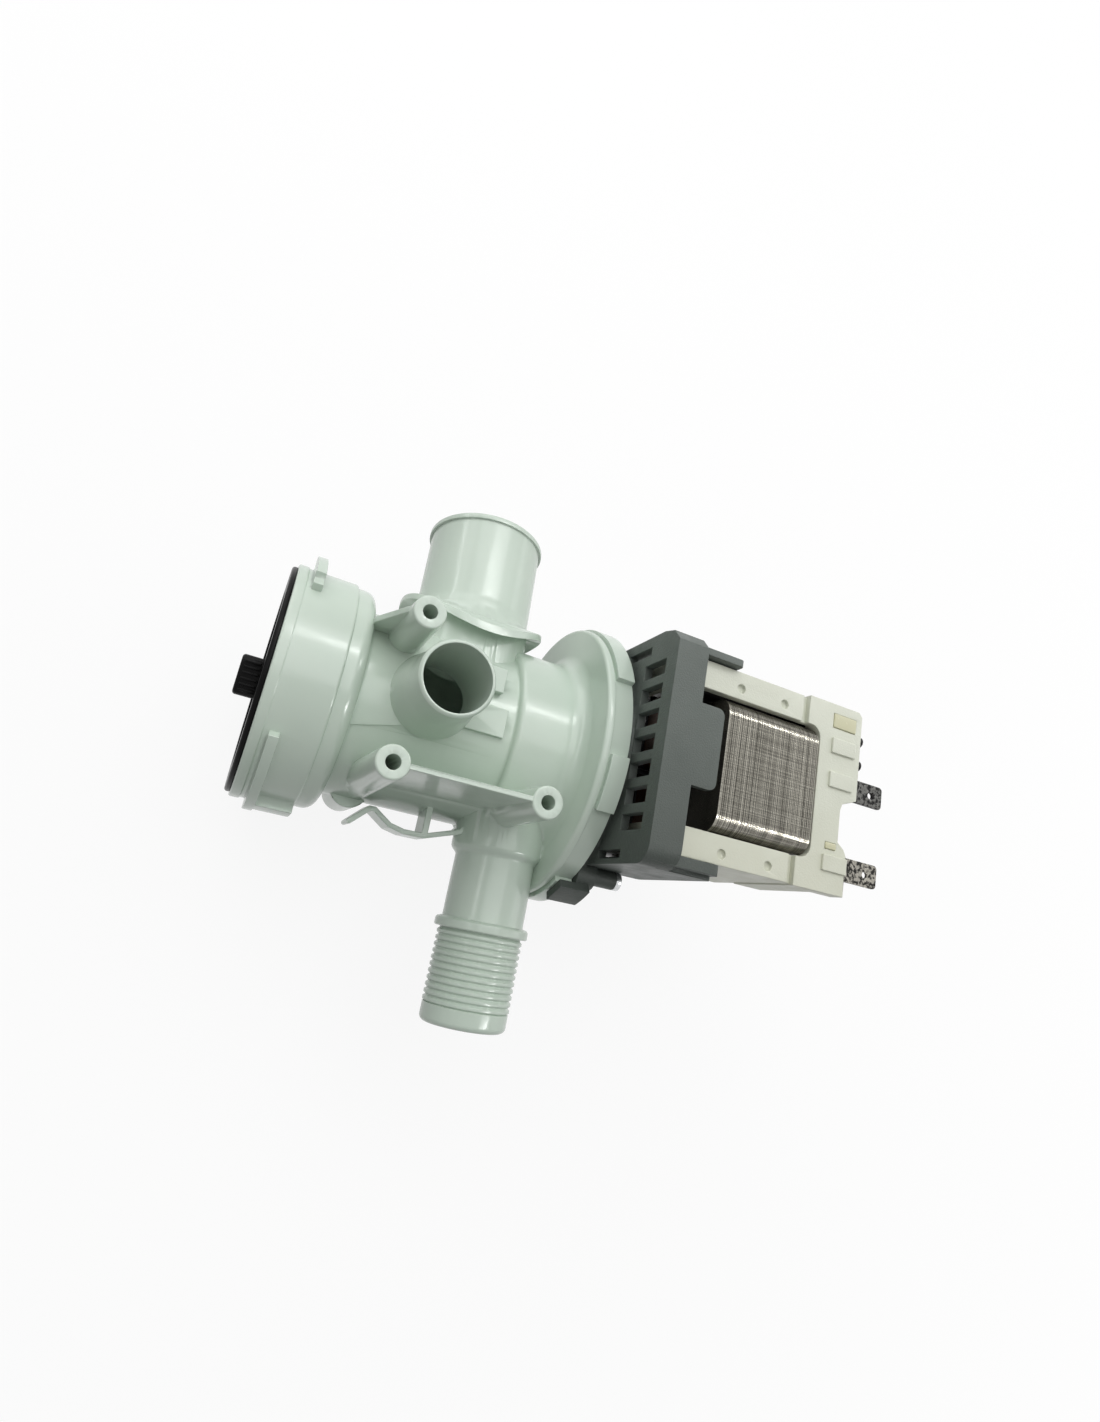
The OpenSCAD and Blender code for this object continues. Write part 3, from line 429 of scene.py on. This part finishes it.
cap = twin("filter_cap")
grip_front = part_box("filter_cap")[0][0] + 0.1 * MM
on_grip = round_edges(cap, GRIP_EDGE, lambda place: place.x < grip_front, segments=4)
elsewhere = round_edges(cap, COMMON_EDGE, lambda place: place.x >= grip_front)
print("filter_cap edges rounded:", on_grip, "on the grip,", elsewhere, "elsewhere")
piece(cap, "cap_moulding", cap_plastic, "filter_cap", ["filter_cap"])

rounded_twin("motor_bracket", "bracket_moulding", bracket_plastic, BRACKET_EDGE)
rounded_twin("coil_frame", "coil_frame_moulding", frame_plastic, FRAME_EDGE)
rounded_twin("upper_terminal", "upper_tab", dull_terminal, TAB_EDGE)
rounded_twin("lower_terminal", "lower_tab", bright_terminal, TAB_EDGE)
rounded_twin("locking_screw", "screw", screw_steel, COMMON_EDGE)
rounded_twin("sealing_resin", "resin_drops", resin, SOFT_EDGE)
rounded_twin("rotor_housing", "housing_moulding", housing_plastic, SOFT_EDGE)

# %% [markdown]
# Left of the side spigot the strainer chamber has a shallow raised face, left there by the mould. It
# grows out of the round wall without a line and ends below in a step of about half a millimetre, of
# which the shadow shows. A flat grid is laid round the chamber, lifted step by step, and given an
# underside that stays inside the wall.

# %% Raised face on the chamber
CHAMBER_RADIUS = 24.4 * MM
FACE_FROM = 20.4 * MM
FACE_TO = 33.0 * MM
FACE_STEP = 0.45 * MM
FACE_SUNK = 0.03 * MM
FACE_UNDERSIDE = CHAMBER_RADIUS - 0.6 * MM
FACE_EDGE = 0.1 * MM
FACE_TOP_DEGREES = 20
FACE_FOOT_DEGREES = -24.5
FOOT_RISE_DEGREES = 7.5


def raised_face():
    """A thin curved pad from the step ring to the spigot, thickest along its foot."""
    bm = bmesh.new()
    bmesh.ops.create_grid(bm, x_segments=8, y_segments=20, size=1.0)
    for vert in bm.verts:
        along = (vert.co.x + 1) / 2
        across = (vert.co.y + 1) / 2
        foot = math.radians(FACE_FOOT_DEGREES + FOOT_RISE_DEGREES * along)
        angle = foot + (math.radians(FACE_TOP_DEGREES) - foot) * across
        radius = CHAMBER_RADIUS + FACE_STEP * (1 - across) ** 2 - FACE_SUNK
        reach = FACE_FROM + (FACE_TO - FACE_FROM) * along
        vert.co = (reach, radius * math.sin(angle), radius * math.cos(angle))
    grown = bmesh.ops.extrude_face_region(bm, geom=bm.faces[:])["geom"]
    for vert in [v for v in grown if isinstance(v, bmesh.types.BMVert)]:
        shrink = FACE_UNDERSIDE / math.hypot(vert.co.y, vert.co.z)
        vert.co = (vert.co.x, vert.co.y * shrink, vert.co.z * shrink)
    bmesh.ops.recalc_face_normals(bm, faces=bm.faces)
    round_edges(bm, FACE_EDGE)
    return bm


piece(raised_face(), "chamber_face", body_plastic, "pump")

# %% [markdown]
# Two dark wire ends look out past the far edge of the terminal block. Each is a short closed
# cylinder that starts inside the block, beside the spot where the solid has its pin and a little
# longer, so that its tip shows to the camera.

# %% Wire ends
WIRE_ENDS_AT = (18.0 * MM, 11.2 * MM)
WIRE_END_RADIUS = 1.5 * MM
WIRE_END_LENGTH = 4.0 * MM
WIRE_END_PAST_PIN = 1.2 * MM


def wire_ends():
    """Two cylinders along the pump, at the height of the solid's pins."""
    bm = bmesh.new()
    near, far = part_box("protector_pins")
    middle = far[0] + WIRE_END_PAST_PIN - WIRE_END_LENGTH / 2
    height = (near[2] + far[2]) / 2
    for across in WIRE_ENDS_AT:
        rod = bmesh.ops.create_cone(bm, cap_ends=True, segments=32, radius1=WIRE_END_RADIUS,
                                    radius2=WIRE_END_RADIUS, depth=WIRE_END_LENGTH)["verts"]
        bmesh.ops.rotate(bm, verts=rod, matrix=Matrix.Rotation(math.pi / 2, 3, "Y"))
        bmesh.ops.translate(bm, verts=rod, vec=(middle, across, height))
    round_edges(bm, COMMON_EDGE)
    return bm


piece(wire_ends(), "wire_ends", pin_metal, "pump", ["protector_pins"])

# %% [markdown]
# The motor's core is a pack of thin steel sheets. One sheet is cut from the CAD solid with a
# plane, filled and given its thickness, then repeated along the pump. Each copy is shifted by a
# few hundredths of a millimetre, because a punched pack is never quite flush, and that is what
# makes the fine lines across the steel.

# %% Core of single sheets
SHEET_PITCH = 0.55 * MM
SHEET_GAP = 0.13 * MM
SHIFT_ACROSS_MM = 0.03
SHIFT_DOWN_MM = 0.08


def sheet_of(node, at_x, thickness):
    """One sheet: a node's outline at at_x, given its thickness along the pump."""
    bm = twin(node)
    geometry = bm.verts[:] + bm.edges[:] + bm.faces[:]
    bmesh.ops.bisect_plane(bm, geom=geometry, plane_co=(at_x, 0, 0), plane_no=(1, 0, 0),
                           clear_inner=True, clear_outer=True)
    filled = bmesh.ops.edgeloop_fill(bm, edges=bm.edges[:])["faces"]
    grown = bmesh.ops.extrude_face_region(bm, geom=filled)["geom"]
    risen = [v for v in grown if isinstance(v, bmesh.types.BMVert)]
    bmesh.ops.translate(bm, verts=risen, vec=(thickness, 0, 0))
    bmesh.ops.recalc_face_normals(bm, faces=bm.faces)
    return bm


low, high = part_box("core_stack")
sheets = int((high[0] - low[0]) / SHEET_PITCH)
core_middle = (low[0] + high[0]) / 2
stack = sheet_of("core_stack", core_middle, SHEET_PITCH - SHEET_GAP)
first = stack.verts[:] + stack.edges[:] + stack.faces[:]
bmesh.ops.translate(stack, verts=stack.verts, vec=(low[0] - core_middle, 0, 0))
shake = random.Random(4)
for number in range(1, sheets):
    copied = bmesh.ops.duplicate(stack, geom=first)["geom"]
    corners = [v for v in copied if isinstance(v, bmesh.types.BMVert)]
    aside = shake.uniform(-SHIFT_ACROSS_MM, SHIFT_ACROSS_MM) * MM
    down = shake.uniform(-SHIFT_DOWN_MM, 0) * MM
    bmesh.ops.translate(stack, verts=corners, vec=(number * SHEET_PITCH, aside, down))
piece(stack, "core_sheets", core_steel, "pump", ["core_stack"])
print("sheets:", sheets)

# %% [markdown]
# All other pieces lie inside, or show only their dark flanks. They keep the CAD solid as it is and
# only need their finish.

# %% Finishes for the inner pieces
inner = {
    "cap_seal": seal_rubber,
    "filter_basket": basket_plastic,
    "volute_seal": seal_rubber,
    "impeller": impeller_plastic,
    "shock_damper": damper_rubber,
    "drive_dog": dog_plastic,
    "rotor_shaft": shaft_steel,
    "rotor_hub": hub_plastic,
    "rotor_magnet": magnet_ferrite,
    "front_thrust_washer": washer_plastic,
    "rear_thrust_washer": washer_plastic,
    "front_bearing": graphite,
    "rear_bearing": graphite,
    "bearing_plate": hub_plastic,
    "rear_bearing_cup": seal_rubber,
    "upper_bobbin": bobbin_plastic,
    "lower_bobbin": bobbin_plastic,
    "upper_winding": winding_copper,
    "lower_winding": winding_copper,
}
for node, material in inner.items():
    nodes[node].data.materials.clear()
    nodes[node].data.materials.append(material)
print("inner pieces:", len(inner))

# %% [markdown]
# The picture was cut out on pure white. The floor shows the camera a white of its own through the
# Light Path node and keeps a share of its diffuse light, so the object's shadow stays faintly on
# it. Further off that share fades out, and floor and world meet without a line. To the light that
# bounces off it the floor is grey, and the pump's underside stays dark. The world is white to the
# camera and to reflections, and greyer to diffuse light.

# %% Floor and world
FLOOR_HALF = 4.0
OWN_WHITE = 0.88
FADE_FROM = 0.2
FADE_TO = 0.6
DIFFUSE_FILL = 0.34


def white_floor(height):
    """Square floor that glows white to the camera and keeps a faint shadow under the object."""
    bm = bmesh.new()
    bmesh.ops.create_grid(bm, x_segments=1, y_segments=1, size=FLOOR_HALF)
    bmesh.ops.translate(bm, verts=bm.verts, vec=(0, 0, height))
    mesh = bpy.data.meshes.new("floor")
    bm.to_mesh(mesh)
    bm.free()
    made = bpy.data.objects.new("floor", mesh)
    bpy.context.collection.objects.link(made)
    finish = Finish("floor_white", roughness=0.9)
    rays = finish.tree.nodes.new("ShaderNodeLightPath")
    kinds = ("Is Camera Ray", "Is Glossy Ray", "Is Transmission Ray")
    wires = [Wire(finish, rays.outputs[kind]) for kind in kinds]
    seen = wires[0] + wires[1] + wires[2]
    finish.feed(Base_Color=finish.blend(seen, (0.35, 0.35, 0.35), (0.9, 0.9, 0.9)))
    glow = finish.node("ShaderNodeEmission", None, {"Color": (1, 1, 1, 1), "Strength": 1.0})
    mix = finish.tree.nodes.new("ShaderNodeMixShader")
    away = finish.node("ShaderNodeVectorMath", {"operation": "LENGTH"}, {0: finish.place}, out=1)
    fade = {"Value": away, "From Min": FADE_FROM, "From Max": FADE_TO,
            "To Min": OWN_WHITE, "To Max": 1.0}
    part = seen * finish.node("ShaderNodeMapRange", None, fade)
    finish.tree.links.new(part.socket, mix.inputs[0])
    finish.tree.links.new(finish.shader.outputs[0], mix.inputs[1])
    finish.tree.links.new(glow.socket, mix.inputs[2])
    finish.tree.links.new(mix.outputs[0], finish.tree.nodes["Material Output"].inputs[0])
    mesh.materials.append(finish.material)
    return made


def white_world(fill):
    """White world whose diffuse light has only the strength of fill."""
    world = bpy.data.worlds.new("white")
    bpy.context.scene.world = world
    world.use_nodes = True
    tree = world.node_tree
    back = tree.nodes["Background"]
    back.inputs["Color"].default_value = (1, 1, 1, 1)
    rays = tree.nodes.new("ShaderNodeLightPath")
    seen = rays.outputs["Is Camera Ray"]
    for other in ("Is Glossy Ray", "Is Transmission Ray"):
        most = tree.nodes.new("ShaderNodeMath")
        most.operation = "MAXIMUM"
        tree.links.new(seen, most.inputs[0])
        tree.links.new(rays.outputs[other], most.inputs[1])
        seen = most.outputs[0]
    strength = tree.nodes.new("ShaderNodeMapRange")
    strength.inputs["To Min"].default_value = fill
    strength.inputs["To Max"].default_value = 1.0
    tree.links.new(seen, strength.inputs["Value"])
    tree.links.new(strength.outputs[0], back.inputs["Strength"])


floor = white_floor(cad_box[0][2])
white_world(DIFFUSE_FILL)
print("floor at", round(cad_box[0][2], 4))

# %% [markdown]
# The highlights on the round collar and drum are long and thin and lie about 38 degrees from the
# camera side towards the inlet. They come from a strip light parallel to the pump. The steel core
# mirrors two strips of its own, one for each of its rounded corners, and the inlet spigot has a thin
# highlight on its left from a fourth. Strips only shine and cast no diffuse light, so the shadows
# stay soft. The light for those comes from a wide soft box, a window on the right and one above.
# Each lamp is given by its direction from the pump, its distance, its width and height in metres,
# and its watts.

# %% Lights
PUMP_MIDDLE = Vector((75, 0, 10)) * MM


def lamp(name, direction, distance, width, height, watts, shine_only=False):
    """Area light aimed at the pump's middle, its width along the pump."""
    data = bpy.data.lights.new(name, "AREA")
    data.shape = "RECTANGLE"
    data.size = width
    data.size_y = height
    data.energy = watts
    made = bpy.data.objects.new(name, data)
    made.visible_diffuse = not shine_only
    back = Vector(direction).normalized()
    side = (Vector((1, 0, 0)) - back * back.x).normalized()
    up = back.cross(side)
    turn = Matrix((side, up, back)).transposed()
    made.matrix_world = Matrix.Translation(PUMP_MIDDLE + back * distance) @ turn.to_4x4()
    bpy.context.collection.objects.link(made)


lamp("strip", (0.24, 0.60, 0.76), 0.5, 0.36, 0.035, 0.62, shine_only=True)
lamp("core_strip", (0.70, 0.45, 0.55), 0.7, 0.3, 0.035, 0.8, shine_only=True)
lamp("low_strip", (0.60, -0.26, 0.75), 0.73, 0.24, 0.025, 1.2, shine_only=True)
lamp("left_strip", (-0.80, 0.33, 0.50), 0.6, 0.04, 0.6, 0.5, shine_only=True)
lamp("soft_box", (-0.03, 0.42, 0.91), 0.8, 0.8, 0.8, 4.1)
lamp("right_window", (0.93, 0.25, 0.27), 0.7, 0.5, 0.5, 1.0)
lamp("top_window", (-0.45, 0.85, 0.30), 0.7, 0.5, 0.5, 1.4)
print("lights:", [lit.name for lit in bpy.data.lights])
